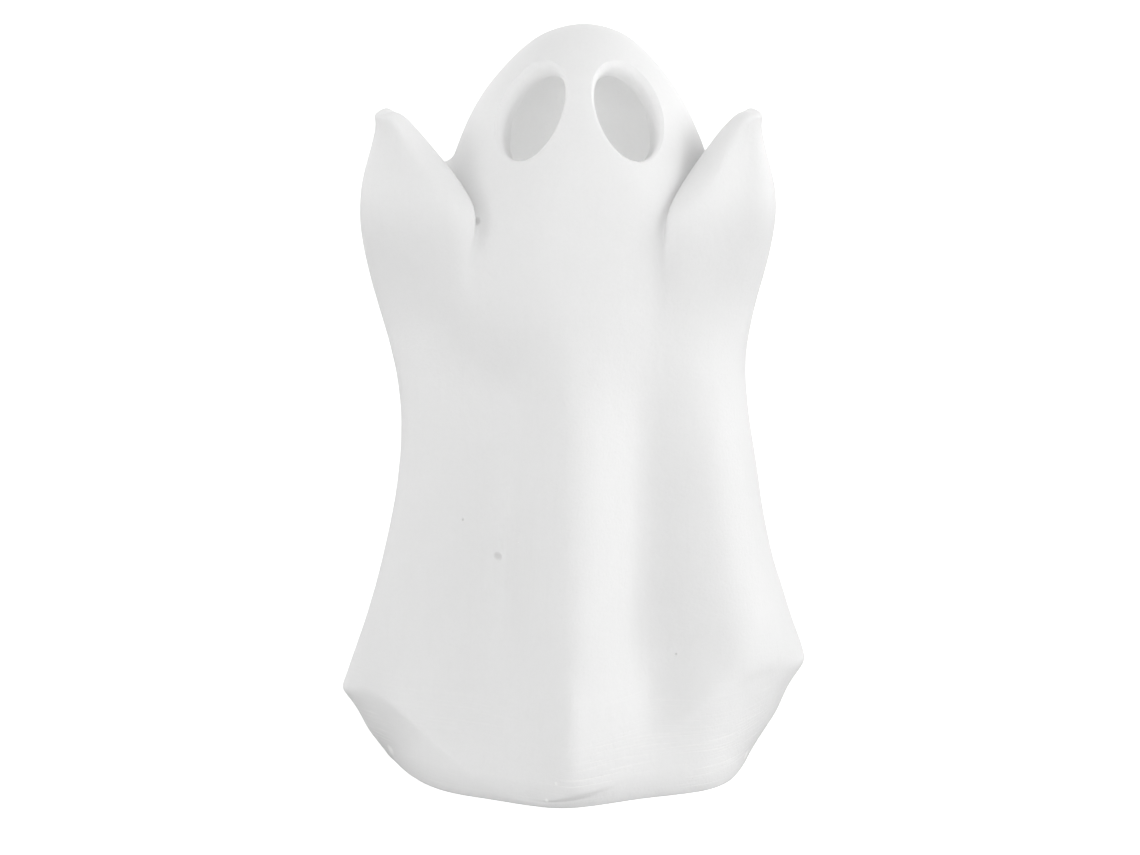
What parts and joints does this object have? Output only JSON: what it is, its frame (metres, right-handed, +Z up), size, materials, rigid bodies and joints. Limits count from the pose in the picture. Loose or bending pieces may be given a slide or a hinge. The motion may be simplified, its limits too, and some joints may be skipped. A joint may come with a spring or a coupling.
{
  "type": "resin ghost statue",
  "caption": "Cast resin ghost figurine with raised arms, a folded skirt and open eyes, hollow inside, lit by a battery lamp module in its base.",
  "frame": {"origin": "middle of the foot's bounds, on the plane that the statue stands on", "axes": "+Z up through the head; the face with its two open eyes looks towards -Y; +X to the viewer's right"},
  "size_m": [0.1151, 0.0946, 0.18],
  "materials": {
    "ghost_shell": "waxy cast resin, satin",
    "base_plate": "moulded, fine texture",
    "battery_door": "moulded, fine texture",
    "steel": "nickel plated",
    "cells": "printed sleeve, bare of text",
    "board": "solder resist",
    "black_plastic": "moulded",
    "resistor_body": "lacquered",
    "lens": "clear warm lens",
    "red_wire": "insulation",
    "black_wire": "insulation"
  },
  "bodies": {
    "statue": {"ghost_shell": "ghost_shell", "base_plate": "base_plate", "plate_screw_1": "steel", "plate_screw_2": "steel", "plate_screw_3": "steel", "cell_1": "cells", "cell_2": "cells", "cell_3": "cells", "contact_minus": "steel", "contact_plus": "steel", "link_left": "steel", "link_right": "steel", "circuit_board": "board", "board_screw_1": "steel", "board_screw_2": "steel", "timer_chip": "black_plastic", "resistor": "resistor_body", "led_lamp": "lens", "slide_switch": "steel", "wire_battery": "red_wire", "wire_switch": "red_wire", "wire_return": "black_wire"},
    "door": {"battery_door": "battery_door"},
    "knob": {"switch_knob": "black_plastic"}
  },
  "joints": [
    {"name": "battery_door_swing", "type": "hinge", "parent": "statue", "child": "door", "pos_m": [-0.0019, -0.01825, 0.0015], "axis": [-1, 0, 0], "range_deg": [0, 60]},
    {"name": "switch_slide", "type": "slide", "parent": "statue", "child": "knob", "axis": [1, 0, 0], "range_m": [0, 0.004]}
  ]
}
